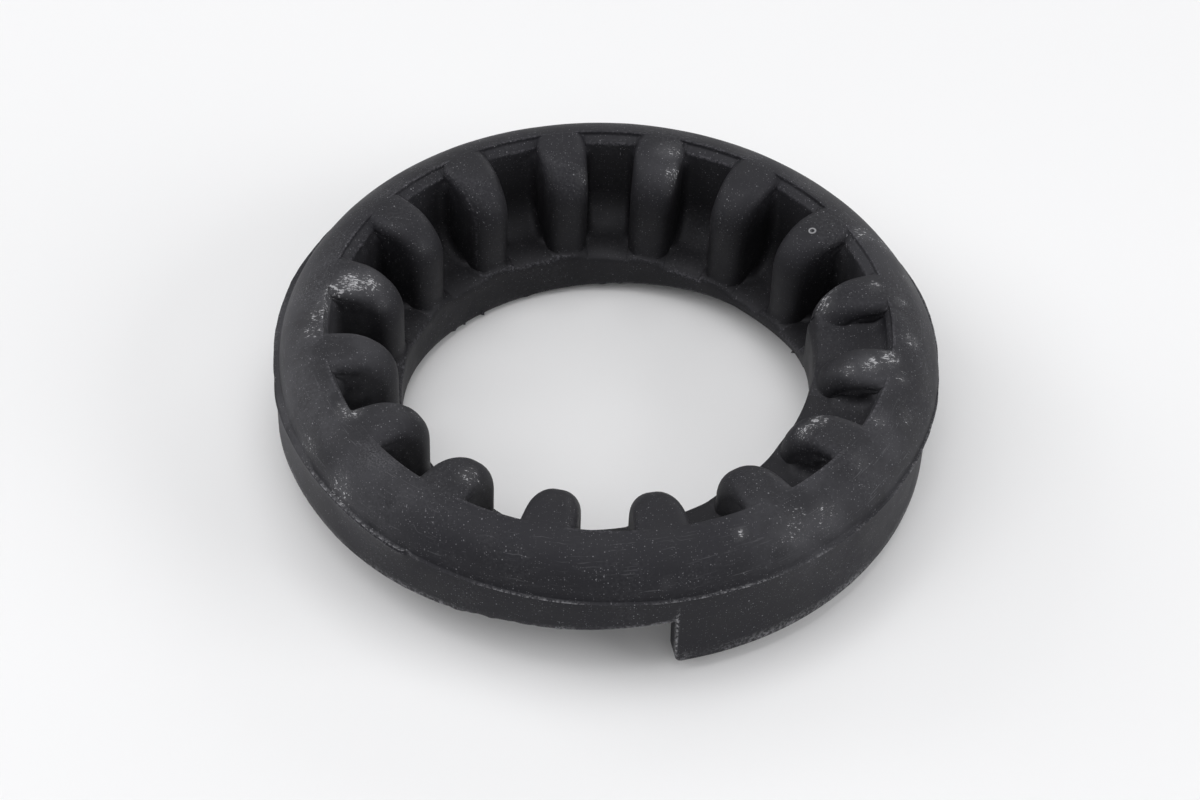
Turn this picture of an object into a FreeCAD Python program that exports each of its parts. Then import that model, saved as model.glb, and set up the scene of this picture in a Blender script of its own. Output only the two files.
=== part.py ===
import FreeCAD, Part
import math
import os

# Coil spring insulator: one moulded rubber ring.
# Millimetres, +Z up. Z = 0 is the level of the collar's lowest point, and the Z axis is the ring's own axis.
# Bearings are in degrees, anticlockwise seen from above, from the front of the ring (-Y).

# Overall form
parting_height = 23.7
parting_radius = 70.0
parting_lip = 0.8
parting_lip_height = 1.2
shoulder_radius = 10.4
skirt_inset = 1.0

# Ribs and the pockets between them
rib_count = 16
rib_angle = 11.2
rib_length = 13.2
rib_nose_radius = 9.8
rib_edge_radius = 2.6
rim_width = 12.2
pocket_corner_radius = 2.0
pocket_root_radius = 7.5
pocket_root_overlap = 0.3
rim_ledge_width = 1.9
rim_ledge_drop = 1.0
rim_ledge_slope = 1.3

# Pocket floors: one ramp round the ring that starts with a short fall, runs slowly and ends steeply
floor_start_depth = 15.0
floor_slow_rise = 0.030
floor_fast_rise = 0.115
floor_bend_bearing = 345.0
entry_height = 7.5
entry_angle = 45.0
bend_ease_angle = 15.0

# Outer skirt: its lower edge runs once round the ring, from the step's low side to its high side
step_bearing = 12.7
step_depth = 20.3
edge_slow_rise = 0.0205
edge_fast_rise = 0.105
edge_bend_bearing = 310.0
skirt_thickness = 4.4

# Spring seat under the floors, the stop for the wire's end, and the collar that enters the spring
seat_recess = 0.6
stop_angle = 4.25
foot_ledge = 1.0
collar_thickness = 4.4
collar_end_tilt = 11.2
collar_low_bearing = 210.0

# Overrun of the cutting solids, and the spacing of the ramps' sections
overrun = 6.0
section_spacing = 9.0

skirt_radius = parting_radius - skirt_inset
pocket_wall_radius = parting_radius - rim_width
rib_tip_radius = pocket_wall_radius - rib_length
collar_bore_radius = rib_tip_radius - foot_ledge
top_height = parting_height + shoulder_radius
shoulder_centre_radius = parting_radius - parting_lip - shoulder_radius
rib_pitch = 360.0 / rib_count
pocket_angle = rib_pitch - rib_angle
ramp_start = 4.5 * rib_pitch


def point(radius, bearing, height):
    """Point at a radius from the axis, a bearing from the front and a height."""
    angle = math.radians(bearing - 90.0)
    return FreeCAD.Vector(radius * math.cos(angle), radius * math.sin(angle), height)


def turned(shape, bearing):
    """Copy of a shape built at the front of the ring, turned about the axis to a bearing."""
    copy = shape.copy()
    copy.rotate(FreeCAD.Vector(0, 0, 0), FreeCAD.Vector(0, 0, 1), bearing)
    return copy


def closed_face(corners):
    """Flat face from radius and height pairs in the plane through the axis at the front."""
    points = [point(radius, 0.0, height) for radius, height in corners]
    return Part.Face(Part.makePolygon(points + points[:1]))


def tube(inner_radius, outer_radius, bottom, top):
    """Plain ring between two radii."""
    base = FreeCAD.Vector(0, 0, bottom)
    outer = Part.makeCylinder(outer_radius, top - bottom, base)
    return outer.cut(Part.makeCylinder(inner_radius, top - bottom, base))


def past_bend(bearing, bend):
    """Degrees run beyond a bend, taken up gradually to each side of it."""
    if bearing <= bend - bend_ease_angle:
        return 0.0
    if bearing >= bend + bend_ease_angle:
        return bearing - bend
    return (bearing - bend + bend_ease_angle) ** 2 / (4.0 * bend_ease_angle)


def entry_rise(bearing):
    """Extra height at the ramps' start, where they pass the stop."""
    left = max(0.0, 1.0 - (bearing - ramp_start) / entry_angle)
    return entry_height * left ** 2


def floor_height(bearing):
    """Height of the pocket floors."""
    slow = floor_slow_rise * (bearing - ramp_start)
    fast = (floor_fast_rise - floor_slow_rise) * past_bend(bearing, floor_bend_bearing)
    return parting_height - floor_start_depth + slow + fast + entry_rise(bearing)


def edge_height(bearing):
    """Height of the skirt's lower edge."""
    slow = edge_slow_rise * (bearing - step_bearing)
    fast = (edge_fast_rise - edge_slow_rise) * past_bend(bearing, edge_bend_bearing)
    return parting_height - step_depth + slow + fast


def seat_height(bearing):
    """Height of the spring seat."""
    return edge_height(bearing) + seat_recess + entry_rise(bearing)


def lofted(section_at, first, last):
    """Solids through sections that stand across the ring, one for each half of a run of bearings."""
    middle = 0.5 * (first + last)
    solids = []
    for start, stop in ((first, middle), (middle, last)):
        count = int(math.ceil((stop - start) / section_spacing))
        wires = [section_at(start + (stop - start) * index / count) for index in range(count + 1)]
        solids.append(Part.makeLoft(wires, True, False))
    return solids


def space_under(height_at, first, last, inner_radius, outer_radius):
    """Solids under a ramp, between two radii."""
    low = -3 * overrun

    def section(bearing):
        high = height_at(bearing)
        near = inner_radius - overrun
        reach = outer_radius + overrun
        corners = [(near, high), (reach, high), (reach, low), (near, low)]
        points = [point(radius, bearing, height) for radius, height in corners]
        return Part.makePolygon(points + points[:1])
    trim = tube(inner_radius, outer_radius, low - overrun, top_height + overrun)
    return [solid.common(trim) for solid in lofted(section, first, last)]


def ring_blank():
    """Turned blank: shoulder, parting lip, skirt, and the rounded noses of the ribs."""
    nose_centre = rib_tip_radius + rib_nose_radius
    nose_foot = top_height - rib_nose_radius
    half = math.sqrt(0.5)
    lip_top = parting_height + 0.5 * parting_lip_height
    lip_low = parting_height - 0.5 * parting_lip_height
    skirt_low = parting_height - step_depth - overrun
    shoulder_low = parting_radius - parting_lip
    nose_start = point(rib_tip_radius, 0, nose_foot)
    nose_middle = point(nose_centre - half * rib_nose_radius, 0, nose_foot + half * rib_nose_radius)
    nose_end = point(nose_centre, 0, top_height)
    shoulder_start = point(shoulder_centre_radius, 0, top_height)
    lip_rise = lip_top - parting_height
    lip_reach = math.sqrt(shoulder_radius ** 2 - lip_rise ** 2)
    turn = 0.5 * (math.radians(90) + math.asin(lip_rise / shoulder_radius))
    shoulder_middle = point(shoulder_centre_radius + shoulder_radius * math.cos(turn), 0,
                            parting_height + shoulder_radius * math.sin(turn))
    shoulder_end = point(shoulder_centre_radius + lip_reach, 0, lip_top)
    lip_edge = point(parting_radius, 0, parting_height)
    skirt_top = point(skirt_radius, 0, lip_low)
    edges = [
        Part.LineSegment(point(rib_tip_radius, 0, skirt_low), nose_start).toShape(),
        Part.Arc(nose_start, nose_middle, nose_end).toShape(),
        Part.LineSegment(nose_end, shoulder_start).toShape(),
        Part.Arc(shoulder_start, shoulder_middle, shoulder_end).toShape(),
        Part.LineSegment(shoulder_end, lip_edge).toShape(),
        Part.LineSegment(lip_edge, skirt_top).toShape(),
        Part.LineSegment(skirt_top, point(skirt_radius, 0, skirt_low)).toShape(),
        Part.LineSegment(point(skirt_radius, 0, skirt_low), point(rib_tip_radius, 0, skirt_low)).toShape(),
    ]
    face = Part.Face(Part.Wire(edges))
    return face.revolve(FreeCAD.Vector(0, 0, 0), FreeCAD.Vector(0, 0, 1), 360)


def sector(profile, angle):
    """Profile at the front turned through an angle, half to each side."""
    return turned(profile, -0.5 * angle).revolve(FreeCAD.Vector(0, 0, 0), FreeCAD.Vector(0, 0, 1), angle)


def pocket_shaft():
    """Straight part of a pocket, with radial sides and rounded outer corners."""
    near = collar_bore_radius - overrun
    low = -overrun
    high = top_height + overrun
    profile = closed_face([(near, low), (pocket_wall_radius, low), (pocket_wall_radius, high), (near, high)])
    solid = sector(profile, pocket_angle)
    corners = [edge for edge in solid.Edges
               if edge.BoundBox.ZLength > high - low - 0.1
               and math.hypot(edge.CenterOfMass.x, edge.CenterOfMass.y) > pocket_wall_radius - 1.0]
    return solid.makeFillet(pocket_corner_radius, corners)


def foot_trim(outer_radius):
    """Turned limit of the floors: the bore's wall, an arc that follows the ribs' noses, a flat top."""
    centre = rib_tip_radius + rib_nose_radius
    foot = top_height - rib_nose_radius
    radius = centre - collar_bore_radius
    half = math.sqrt(0.5) * radius
    line = [point(centre, 0, foot + radius), point(outer_radius, 0, foot + radius),
            point(outer_radius, 0, -overrun), point(collar_bore_radius, 0, -overrun),
            point(collar_bore_radius, 0, foot)]
    sides = [Part.LineSegment(line[index], line[index + 1]).toShape() for index in range(4)]
    nose = Part.Arc(line[4], point(centre - half, 0, foot + half), line[0]).toShape()
    face = Part.Face(Part.Wire(sides + [nose]))
    solid = face.revolve(FreeCAD.Vector(0, 0, 0), FreeCAD.Vector(0, 0, 1), 360)
    return solid.common(tube(collar_bore_radius - overrun, outer_radius + overrun, -2 * overrun,
                             top_height - rib_edge_radius))


def floor_solids():
    """Rubber under the pockets: a ramp whose outer edge sweeps up to the pockets' walls."""
    reach = pocket_wall_radius + pocket_root_overlap
    back = 0.5 * (pocket_wall_radius + skirt_radius)
    near = collar_bore_radius - overrun
    low = -2 * overrun
    ledge_foot = top_height - rim_ledge_drop - rim_ledge_slope

    def section(bearing):
        high = floor_height(bearing)
        radius = min(pocket_root_radius, ledge_foot - high)
        root = reach - radius
        bow = math.sqrt(0.5) * radius
        top = high + radius
        start = point(root, bearing, high)
        middle = point(root + bow, bearing, top - bow)
        stop = point(reach, bearing, top)
        line = [stop, point(back, bearing, top), point(back, bearing, low), point(near, bearing, low),
                point(near, bearing, high), start]
        sides = [Part.LineSegment(line[index], line[index + 1]).toShape() for index in range(5)]
        return Part.Wire([Part.Arc(start, middle, stop).toShape()] + sides)
    trim = foot_trim(0.5 * (back + skirt_radius))
    return [solid.common(trim) for solid in lofted(section, ramp_start, ramp_start + 360.0)]


def on_rib_edge(edge):
    """True for the edges along a rib's crown, nose and inner end that are to be rounded."""
    crown = edge.BoundBox.ZMax > top_height - 0.01 and edge.BoundBox.ZLength < 0.01
    nose_foot = top_height - rib_nose_radius
    samples = [edge.valueAt(edge.FirstParameter + share * (edge.LastParameter - edge.FirstParameter))
               for share in (0.0, 0.5, 1.0)]
    bearings = [math.degrees(math.atan2(p.y, p.x)) % 360.0 for p in samples]
    if max(bearings) - min(bearings) > 0.01:
        return False
    middle = samples[1]
    radius = math.hypot(middle.x, middle.y)
    nose = edge.BoundBox.ZMin > nose_foot - 0.01 and radius < rib_tip_radius + rib_nose_radius
    tip = abs(radius - rib_tip_radius) < 0.01
    return crown or nose or tip


def spring_space():
    """Solids to take away under the seat and under the skirt's edge."""
    near = collar_bore_radius - overrun
    edge = space_under(edge_height, step_bearing, step_bearing + 360.0, near, parting_radius + overrun)
    seat = space_under(seat_height, ramp_start, ramp_start + 360.0 - stop_angle, near,
                       skirt_radius - skirt_thickness)
    collar = collar_blank()
    return [solid.cut(collar) for solid in edge + seat]


def collar_blank():
    """Collar that enters the spring: a tube with its end cut on a tilted plane."""
    outer = collar_bore_radius + collar_thickness
    body = tube(collar_bore_radius - 2 * overrun, outer, -4 * overrun, top_height)
    below = Part.makeBox(8 * outer, 8 * outer, 8 * outer, FreeCAD.Vector(-4 * outer, -outer, -8 * outer))
    below.rotate(FreeCAD.Vector(0, 0, 0), FreeCAD.Vector(1, 0, 0), collar_end_tilt)
    below.translate(FreeCAD.Vector(0, -outer, 0))
    return body.cut(turned(below, collar_low_bearing))


def rim_ledge():
    """Ledge under the rim's inner edge, across one pocket."""
    outer = pocket_wall_radius + rim_ledge_width
    near = pocket_wall_radius - overrun
    drop = top_height - rim_ledge_drop
    low = drop - rim_ledge_slope
    profile = closed_face([(near, low), (pocket_wall_radius, low), (outer, drop),
                           (outer, top_height + overrun), (near, top_height + overrun)])
    return sector(profile, pocket_angle)


def insulator():
    """The whole ring."""
    bearings = [index * rib_pitch for index in range(rib_count)]
    shaft = pocket_shaft()
    ledge = rim_ledge()
    ring = ring_blank().cut([turned(shaft, bearing) for bearing in bearings])
    ring = ring.makeFillet(rib_edge_radius, [edge for edge in ring.Edges if on_rib_edge(edge)])
    ring = ring.fuse(floor_solids())
    ring = ring.cut([turned(ledge, bearing) for bearing in bearings])
    for space in spring_space():
        ring = ring.cut(space)
    return ring


if __name__ == "__main__":
    os.makedirs("parts", exist_ok=True)
    body = insulator()
    body.exportStep("parts/spring_insulator.step")
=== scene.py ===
"""Looks of a moulded rubber coil spring insulator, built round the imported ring.

The ring is one closed surface. A section stands across the ring at every bearing, and neighbouring
sections are joined point to point. Lengths in the form classes are in millimetres, and bearings are in
degrees, anticlockwise seen from above, from the front (-Y). Blender objects are in metres.
"""

import logging
import math
from dataclasses import dataclass, field
from enum import Enum
from typing import Any, Callable, Iterable, Sequence, Union

import bmesh
import bpy
import numpy as np
from mathutils import Matrix, Vector


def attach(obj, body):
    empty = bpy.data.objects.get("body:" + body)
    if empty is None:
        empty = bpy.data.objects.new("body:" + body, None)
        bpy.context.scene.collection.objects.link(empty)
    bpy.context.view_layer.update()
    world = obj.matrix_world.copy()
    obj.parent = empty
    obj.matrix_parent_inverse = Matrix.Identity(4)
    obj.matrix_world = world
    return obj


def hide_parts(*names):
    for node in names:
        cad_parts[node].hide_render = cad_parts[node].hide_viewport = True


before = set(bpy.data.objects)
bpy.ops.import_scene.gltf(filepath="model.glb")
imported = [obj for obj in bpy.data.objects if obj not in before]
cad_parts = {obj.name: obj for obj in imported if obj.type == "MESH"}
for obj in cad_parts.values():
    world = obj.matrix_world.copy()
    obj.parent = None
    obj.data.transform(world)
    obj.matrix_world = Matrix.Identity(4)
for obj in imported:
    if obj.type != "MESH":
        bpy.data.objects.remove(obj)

LOG = logging.getLogger("spring_insulator")
MM = 0.001
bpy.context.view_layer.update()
NODE = "spring_insulator"

# Waves round the ring, and the share that each adds to the unevenness.
WAVES = ((3, 0.35), (7, 0.25), (13, 0.2), (29, 0.12), (53, 0.08))

# How far the middle of a rounded corner falls back, as a share of its radius.
CORNER = 0.29

Values = Union[float, np.ndarray]
Socket = bpy.types.NodeSocket
Input = Union[Socket, float, Sequence[float]]
Place = tuple[float, float, float]
Colour = tuple[float, float, float, float]
Table = tuple[tuple[float, float], ...]
Triples = tuple[tuple[float, float, float], ...]


class Part(Enum):
    """Rows of a section, in the order in which they run round it."""

    SKIRT = "skirt"
    LIP = "lip"
    SHOULDER = "shoulder"
    INNER = "inner"
    FOOT = "foot"
    BORE = "bore"
    COLLAR_END = "collar_end"
    COLLAR_OUTSIDE = "collar_outside"
    SEAT = "seat"
    SKIRT_INSIDE = "skirt_inside"
    SKIRT_END = "skirt_end"


class Mask(Enum):
    """Layers of the mesh that the finish reads."""

    SCUFF = "scuff"
    # Patches of painted sheen on the shoulder and the tops.
    SHEEN_HAZE = "haze"
    SHOULDER = "shoulder"
    # Outer edge of the lip, which carries a painted highlight.
    LIP = "lip"
    # Painted shade deep in the pockets and the bore.
    PAINTED_SHADE = "painted_shade"
    CORNER = "corner"
    LOW_EDGE = "low_edge"


def smooth(low: float, high: float, value: Values) -> Values:
    """Smooth step from 0 to 1.

    Args:
        low: Value at which the step starts.
        high: Value at which it ends.
        value: Number or array.

    Returns:
        The step at each value.
    """
    share = np.clip((value - low) / (high - low), 0.0, 1.0)
    return share * share * (3.0 - 2.0 * share)


def band(value: Values, rise: float, full: float, fall: float, end: float) -> Values:
    """Smooth step up from rise to full, and down again from fall to end."""
    return smooth(rise, full, value) * (1.0 - smooth(fall, end, value))


def bump(bearing: float, middle: float, width: float) -> float:
    """Soft bump of height 1 round a bearing."""
    return math.exp(-((bearing - middle) / width) ** 2)


def wave(bearing: float, seed: float, slow: float = 1.0) -> float:
    """Smooth unevenness round the ring, with no jump after a full turn.

    Args:
        bearing: Bearing in degrees.
        seed: Shifts the pattern.
        slow: Multiplies the number of waves round the ring.

    Returns:
        A value of about -1 to 1.
    """
    turn = math.radians(bearing)
    total = 0.0
    for count, share in WAVES:
        waves = max(1, round(count * slow))
        total += share * math.sin(waves * turn + seed * (1.7 + count))
    return total


@dataclass(frozen=True)
class Drop:
    """A face where a ramp ends and starts again.

    The shares say how far the drop has gone at steps from its bearing.
    """

    bearing: float
    shares: Table

    def share(self, bearing: float) -> float:
        """How far the drop has gone at a bearing, from 0 before it to 1 after it."""
        return float(np.interp(bearing - self.bearing, *zip(*self.shares)))

    def bearings(self) -> list[float]:
        """Bearings at which the drop needs a section."""
        return [self.bearing + step for step, _ in self.shares]


@dataclass(frozen=True)
class Ramp:
    """A height that rises slowly to a bend and then steeply, and drops after one turn."""

    start: float
    base: float
    slow: float
    fast: float
    bend: float
    drop: Drop
    ease: float = 15.0

    def height(self, bearing: float) -> float:
        """Height without the drop, counted on past a full turn.

        Args:
            bearing: Bearing in degrees, not before the ramp's start.

        Returns:
            Height in millimetres.
        """
        run = bearing - self.bend
        eased = min(max(run + self.ease, 0.0), 2.0 * self.ease)
        past = eased ** 2 / (4.0 * self.ease) + max(0.0, run - self.ease)
        return self.base + self.slow * (bearing - self.start) + (self.fast - self.slow) * past

    def stepped(self, bearing: float, entry: float = 0.0) -> float:
        """Height with the drop.

        Args:
            bearing: Bearing in degrees, 0 to 360.
            entry: Extra height after the drop.

        Returns:
            Height in millimetres.
        """
        low = self.height(max(bearing, self.start)) + entry
        high = self.height(bearing + 360.0)
        return high + (low - high) * self.drop.share(bearing)


@dataclass(frozen=True)
class RingForm:
    """Sizes of the ring.

    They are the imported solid's, apart from rounder rib tips, a rounded bore and a ledge that is narrower
    beside some pockets.
    """

    parting_height: float = 23.7
    shoulder_radius: float = 10.4
    shoulder_centre: float = 58.8
    skirt_radius: float = 69.0
    rib_count: int = 16
    rib_half_angle: float = 5.6
    rib_tip_radius: float = 44.6
    rib_nose_radius: float = 9.8
    rib_edge_radius: float = 2.6
    rib_tip_edge_radius: float = 4.0
    rib_base_flare: float = 0.45
    rib_base_height: float = 1.3
    pocket_wall_radius: float = 57.8
    ledge_rows: Table = (
        (59.63, -0.09), (59.59, -0.25), (59.56, -0.55), (59.51, -0.86), (59.36, -1.05),
        (59.0, -1.24), (58.4, -1.67), (58.04, -1.96), (57.86, -2.2), (57.8, -2.6),
    )
    pocket_root_radius: float = 7.5
    pocket_fillet: float = 2.2
    rim_edge_radius: float = 59.7
    bore_radius: float = 43.6
    bore_edge: float = 1.7
    collar_radius: float = 48.0
    collar_tilt: float = 11.2
    collar_low_bearing: float = 210.0
    skirt_inside_radius: float = 64.6
    seat_recess: float = 0.6
    clearance: float = 0.05
    entry_height: float = 7.5
    entry_angle: float = 45.0
    stop_angle: float = 4.25
    stop_ease: float = 0.45
    floor_ramp: Ramp = Ramp(start=101.25, base=8.7, slow=0.030, fast=0.115, bend=345.0, drop=Drop(101.25, (
        (-0.6, 0.0), (-0.4, 0.03), (-0.2, 0.14), (-0.07, 0.35), (0.07, 0.65), (0.2, 0.86), (0.4, 0.97),
        (0.6, 1.0),
    )))
    edge_ramp: Ramp = Ramp(start=12.7, base=3.4, slow=0.0205, fast=0.105, bend=310.0, drop=Drop(12.4, (
        (-0.30, 0.0), (-0.12, 0.02), (-0.07, 0.08), (-0.04, 0.25), (0.0, 0.5), (0.04, 0.72),
        (0.07, 0.87), (0.2, 0.92), (0.45, 0.958), (0.8, 0.986), (1.25, 1.0),
    )))
    wide_ledge_from: float = 101.25
    wide_ledge_to: float = 258.75
    ledge_ease: float = 3.0
    narrow_ledge: float = 0.5

    @property
    def top(self) -> float:
        """Height of the rib tops."""
        return self.parting_height + self.shoulder_radius

    @property
    def pitch(self) -> float:
        """Angle from one rib to the next."""
        return 360.0 / self.rib_count

    def ledge_share(self, bearing: float) -> float:
        """Width of the ledge inside the rim.

        Args:
            bearing: Bearing in degrees.

        Returns:
            Share of the ledge's full width.
        """
        first, last, ease = self.wide_ledge_from, self.wide_ledge_to, self.ledge_ease
        wide = float(band(bearing, first - ease, first + ease, last - ease, last + ease))
        return self.narrow_ledge + (1.0 - self.narrow_ledge) * wide

    def entry(self, bearing: float) -> float:
        """Extra height at the start of the floor and the seat."""
        left = min(1.0, max(0.0, 1.0 - (bearing - self.floor_ramp.start) / self.entry_angle))
        return self.entry_height * left * left

    def floor(self, bearing: float) -> float:
        """Height of the pocket floors."""
        return self.floor_ramp.stepped(bearing, self.entry(bearing))

    def edge(self, bearing: float) -> float:
        """Height of the skirt's lower edge."""
        return self.edge_ramp.stepped(bearing)

    def open_seat(self, bearing: float) -> float:
        """Height of the spring seat, with no stop."""
        turned = bearing if bearing >= self.floor_ramp.start else bearing + 360.0
        return self.edge_ramp.height(turned) + self.seat_recess + self.entry(turned)

    def seat(self, bearing: float) -> float:
        """Height of the underside between the collar and the skirt, stop included.

        Args:
            bearing: Bearing in degrees, 0 to 360.

        Returns:
            Height in millimetres.
        """
        last, ease = self.floor_ramp.start, self.stop_ease
        first = last - self.stop_angle
        stop = float(band(bearing, first - ease, first, last, last + ease))
        return self.open_seat(bearing) * (1.0 - stop) + (self.edge(bearing) + self.clearance) * stop

    def collar_end(self, bearing: float, radius: float) -> float:
        """Height of the collar's slanting end.

        Args:
            bearing: Bearing in degrees.
            radius: Distance from the ring's axis.

        Returns:
            Height in millimetres, always below the open seat.
        """
        run = radius * math.cos(math.radians(bearing - self.collar_low_bearing))
        plane = math.tan(math.radians(self.collar_tilt)) * (self.collar_radius - run)
        return min(plane, self.open_seat(bearing) - self.clearance)

    def bore_at(self, height: float) -> float:
        """Radius of the bore's wall, which leans back above the ribs' straight tips.

        Args:
            height: Height in millimetres.

        Returns:
            Radius in millimetres.
        """
        rise = max(0.0, height - (self.top - self.rib_nose_radius))
        centre = self.rib_tip_radius + self.rib_nose_radius
        return centre - math.sqrt(max(0.0, (centre - self.bore_radius) ** 2 - rise ** 2))


@dataclass(frozen=True)
class Wear:
    """Small damage and unevenness, as they lie on the ring.

    A flash tag holds a bearing, a reach and a width.
    """

    flare_bearing: float = 98.0
    flare_reach: float = 1.15
    flare_run: float = 30.0
    flare_height: float = 6.0
    lip_reach: Table = (
        (0.0, 1.15), (60.0, 1.3), (90.0, 1.5), (104.0, 2.1), (122.0, 2.1), (131.0, 1.5), (140.0, 1.0),
        (215.0, 1.0), (226.0, 1.8), (238.0, 2.1), (255.0, 2.0), (268.0, 1.6), (285.0, 1.4), (310.0, 1.2),
        (360.0, 1.15),
    )
    lip_unevenness: float = 0.13
    notch_bearing: float = 325.8
    notch_width: float = 0.6
    notch_depth: float = 0.9
    notch_steps: tuple[float, ...] = (-1.2, -0.6, -0.3, 0.0, 0.3, 0.6, 1.2)
    form_unevenness: float = 0.07
    edge_unevenness: float = 0.07
    torn_from: float = 330.0
    torn_to: float = 354.0
    torn_ease: float = 2.0
    torn_depth: float = 0.75
    torn_step: float = 0.45
    second_lip_from: float = 272.0
    second_lip_reach: float = 0.6
    second_lip_rise: float = 12.0
    second_lip_fall: float = 1.6
    swell_bearing: float = 279.0
    swell_reach: float = 1.15
    swell_run: float = 16.0
    flash_tags: Triples = (
        (219.4, 0.75, 0.5), (226.5, 0.5, 0.4), (230.6, 0.35, 0.8), (109.6, 0.6, 0.45), (181.0, 0.25, 1.2),
        (176.0, 0.2, 0.8), (204.0, 0.2, 1.0),
    )
    tag_steps: tuple[float, ...] = (-1.4, -0.7, 0.0, 0.7, 1.4)

    def torn_edge(self, bearing: float) -> float:
        """Raggedness of the skirt's lower edge.

        Args:
            bearing: Bearing in degrees.

        Returns:
            Height to add, in millimetres.
        """
        first, last, ease = self.torn_from, self.torn_to, self.torn_ease
        inside = float(band(bearing, first, first + ease, last - ease, last))
        rough = wave(bearing, 2.1, 2.3) + 0.6 * wave(bearing, 5.3, 4.1)
        return self.torn_depth * inside * rough + self.edge_unevenness * wave(bearing, 0.4, 1.7)

    def lip(self, bearing: float) -> float:
        """How far the parting lip stands out from the skirt.

        Args:
            bearing: Bearing in degrees.

        Returns:
            Reach in millimetres.
        """
        reach = float(np.interp(bearing, *zip(*self.lip_reach)))
        rough = 0.7 * wave(bearing, 3.7, 1.6) + 0.5 * wave(bearing, 0.9, 3.9)
        notch = self.notch_depth * bump(bearing, self.notch_bearing, self.notch_width)
        return reach * (1.0 + self.lip_unevenness * rough) - notch

    def second_lip(self, bearing: float) -> float:
        """Reach of the second line under the lip, which ends at the notch.

        Args:
            bearing: Bearing in degrees.

        Returns:
            Reach in millimetres.
        """
        first, last = self.second_lip_from, self.notch_bearing
        inside = band(bearing, first, first + self.second_lip_rise, last - self.second_lip_fall, last)
        return self.second_lip_reach * float(inside)

    def swell(self, bearing: float) -> float:
        """How far the skirt bulges on the left, in millimetres."""
        return self.swell_reach * bump(bearing, self.swell_bearing, self.swell_run)

    def flare(self, bearing: float) -> float:
        """How far the shoulder flares out to the lip on the right, in millimetres."""
        return self.flare_reach * bump(bearing, self.flare_bearing, self.flare_run)

    def bore_flash(self, bearing: float) -> float:
        """Reach of the thin tags left at the bore's lower edge, in millimetres."""
        return sum(reach * bump(bearing, place, width) for place, reach, width in self.flash_tags)

    def bearings(self) -> list[float]:
        """Bearings at which the damage needs a section.

        Returns:
            Bearings in degrees.
        """
        tags = [place + width * step for place, _, width in self.flash_tags for step in self.tag_steps]
        notch = [self.notch_bearing + step for step in self.notch_steps]
        return tags + notch + np.arange(self.torn_from, self.torn_to, self.torn_step).tolist()


@dataclass
class Section:
    """One closed section across the ring.

    The rows are radius and height. Each may be shifted round the ring by some degrees.
    """

    bearing: float
    rows: list[tuple[float, float]] = field(default_factory=list)
    parts: list[Part] = field(default_factory=list)
    shift: list[float] = field(default_factory=list)

    def add(self, part: Part, points: Iterable[Sequence[float]]) -> None:
        """Adds rows.

        Args:
            part: Which part of the section the rows belong to.
            points: Radius and height of each row.
        """
        for radius, height in points:
            self.rows.append((float(radius), float(height)))
            self.parts.append(part)
            self.shift.append(0.0)


def run_along(points: np.ndarray) -> np.ndarray:
    """Length of a line from its start to each of its points."""
    return np.concatenate(([0.0], np.cumsum(np.hypot(*np.diff(points, axis=0).T))))


def resampled(points: np.ndarray, count: int) -> np.ndarray:
    """Points spread evenly along a line.

    Args:
        points: Array of radius and height.
        count: Number of points wanted, both ends included.

    Returns:
        Array of that many points.
    """
    run = run_along(points)
    wanted = np.linspace(0.0, run[-1], count)
    return np.column_stack((np.interp(wanted, run, points[:, 0]), np.interp(wanted, run, points[:, 1])))


def normals_right(points: np.ndarray) -> np.ndarray:
    """Normals to the right of a line's direction of travel.

    Args:
        points: Array of radius and height.

    Returns:
        Array of unit normals.
    """
    along = np.gradient(points, axis=0)
    length = np.maximum(np.hypot(along[:, 0], along[:, 1]), 1e-9)
    return np.column_stack((along[:, 1], -along[:, 0])) / length[:, None]


def arc(centre: tuple[float, float], radius: float, first: float, last: float, count: int) -> np.ndarray:
    """Points on an arc.

    Args:
        centre: Radius and height of the centre.
        radius: Radius of the arc.
        first: Angle of the first point, in degrees from outwards, turning up.
        last: Angle of the last point.
        count: Number of points.

    Returns:
        Array of radius and height.
    """
    angle = np.radians(np.linspace(first, last, count))
    return np.column_stack((centre[0] + radius * np.cos(angle), centre[1] + radius * np.sin(angle)))


def rounding(depth: Values, radius: Values) -> Values:
    """How far a rounded edge falls back from its face.

    Args:
        depth: Distance from the edge's side.
        radius: Radius of the rounding.

    Returns:
        The fall, from the radius at the side to 0 where the rounding ends.
    """
    left = np.clip(radius - depth, 0.0, radius)
    return radius - np.sqrt(np.maximum(radius ** 2 - left ** 2, 0.0))


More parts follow.
